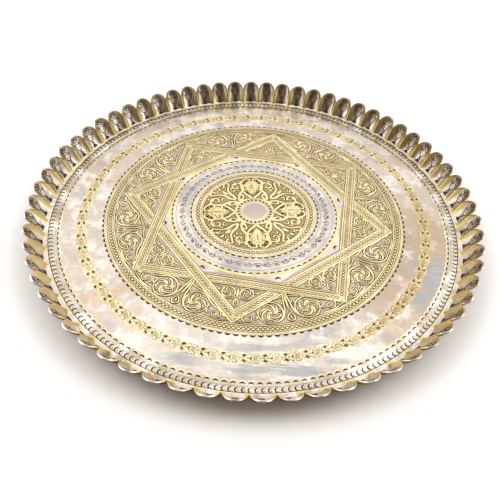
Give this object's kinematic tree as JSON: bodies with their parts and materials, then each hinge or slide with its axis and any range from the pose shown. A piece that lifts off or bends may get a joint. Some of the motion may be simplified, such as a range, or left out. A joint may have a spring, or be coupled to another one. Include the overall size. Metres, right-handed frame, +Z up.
{
  "type": "round serving tray",
  "caption": "Round flat tray with a wall of upright rounded petals, engraved and parcel-gilt in rings round a central medallion.",
  "frame": {"origin": "on the surface the tray stands on, under the middle of the tray", "axes": "+Z up, out of the tray's open side; +X to the right and +Y away from the viewer, through the middle of a petal at each end of X"},
  "size_m": [0.51, 0.5094, 0.029],
  "materials": {
    "silvered_floor": "worn silver wash over brass, engraved and parcel-gilt",
    "silvered_border": "worn silver wash over brass, punched with crescents",
    "parcel_gilt_wall": "silvered petals with dark engraving and gilt ridges"
  },
  "bodies": {
    "root": {"floor_plate": "silvered_floor", "border_ring": "silvered_border", "petal_wall": "parcel_gilt_wall"}
  },
  "joints": []
}
